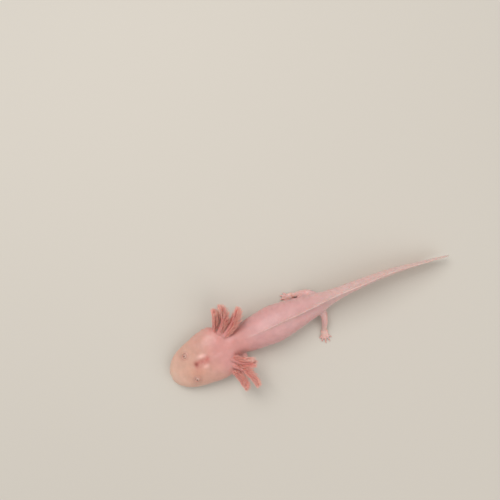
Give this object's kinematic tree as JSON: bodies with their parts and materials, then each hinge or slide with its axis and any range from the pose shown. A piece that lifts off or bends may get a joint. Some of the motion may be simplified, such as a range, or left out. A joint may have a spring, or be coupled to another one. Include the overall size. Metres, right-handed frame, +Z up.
{
  "type": "axolotl",
  "caption": "Young white axolotl lying on its belly: broad flat head with feathery red gills, a soft trunk, splayed legs and a long finned tail bent gently aside.",
  "frame": {"origin": "on the floor, under the middle of the bounding box", "axes": "+Y from head to tail, +X to the animal's left, +Z up from the floor it lies on"},
  "size_m": [0.0492, 0.163, 0.0192],
  "materials": {
    "skin": "moist translucent pink-white skin",
    "fin": "thin moist translucent fin skin",
    "gill": "moist blood-red gill tissue",
    "eye": "wet polished eye with a pale pink iris"
  },
  "bodies": {
    "root": {"head": "skin", "lower_jaw": "skin", "eye_left": "eye", "eye_right": "eye", "neck": "skin", "trunk_front": "skin", "trunk_middle": "skin", "trunk_rear": "skin", "tail_base": "skin", "tail_middle": "skin", "tail_end": "skin", "dorsal_fin": "fin", "tail_fin_upper": "fin", "tail_fin_lower": "fin", "upper_arm_left": "skin", "forearm_left": "skin", "hand_left": "skin", "upper_arm_right": "skin", "forearm_right": "skin", "hand_right": "skin", "thigh_left": "skin", "shin_left": "skin", "foot_left": "skin", "thigh_right": "skin", "shin_right": "skin", "foot_right": "skin", "gill_left_1": "gill", "gill_left_2": "gill", "gill_left_3": "gill", "gill_right_1": "gill", "gill_right_2": "gill", "gill_right_3": "gill"}
  },
  "joints": []
}
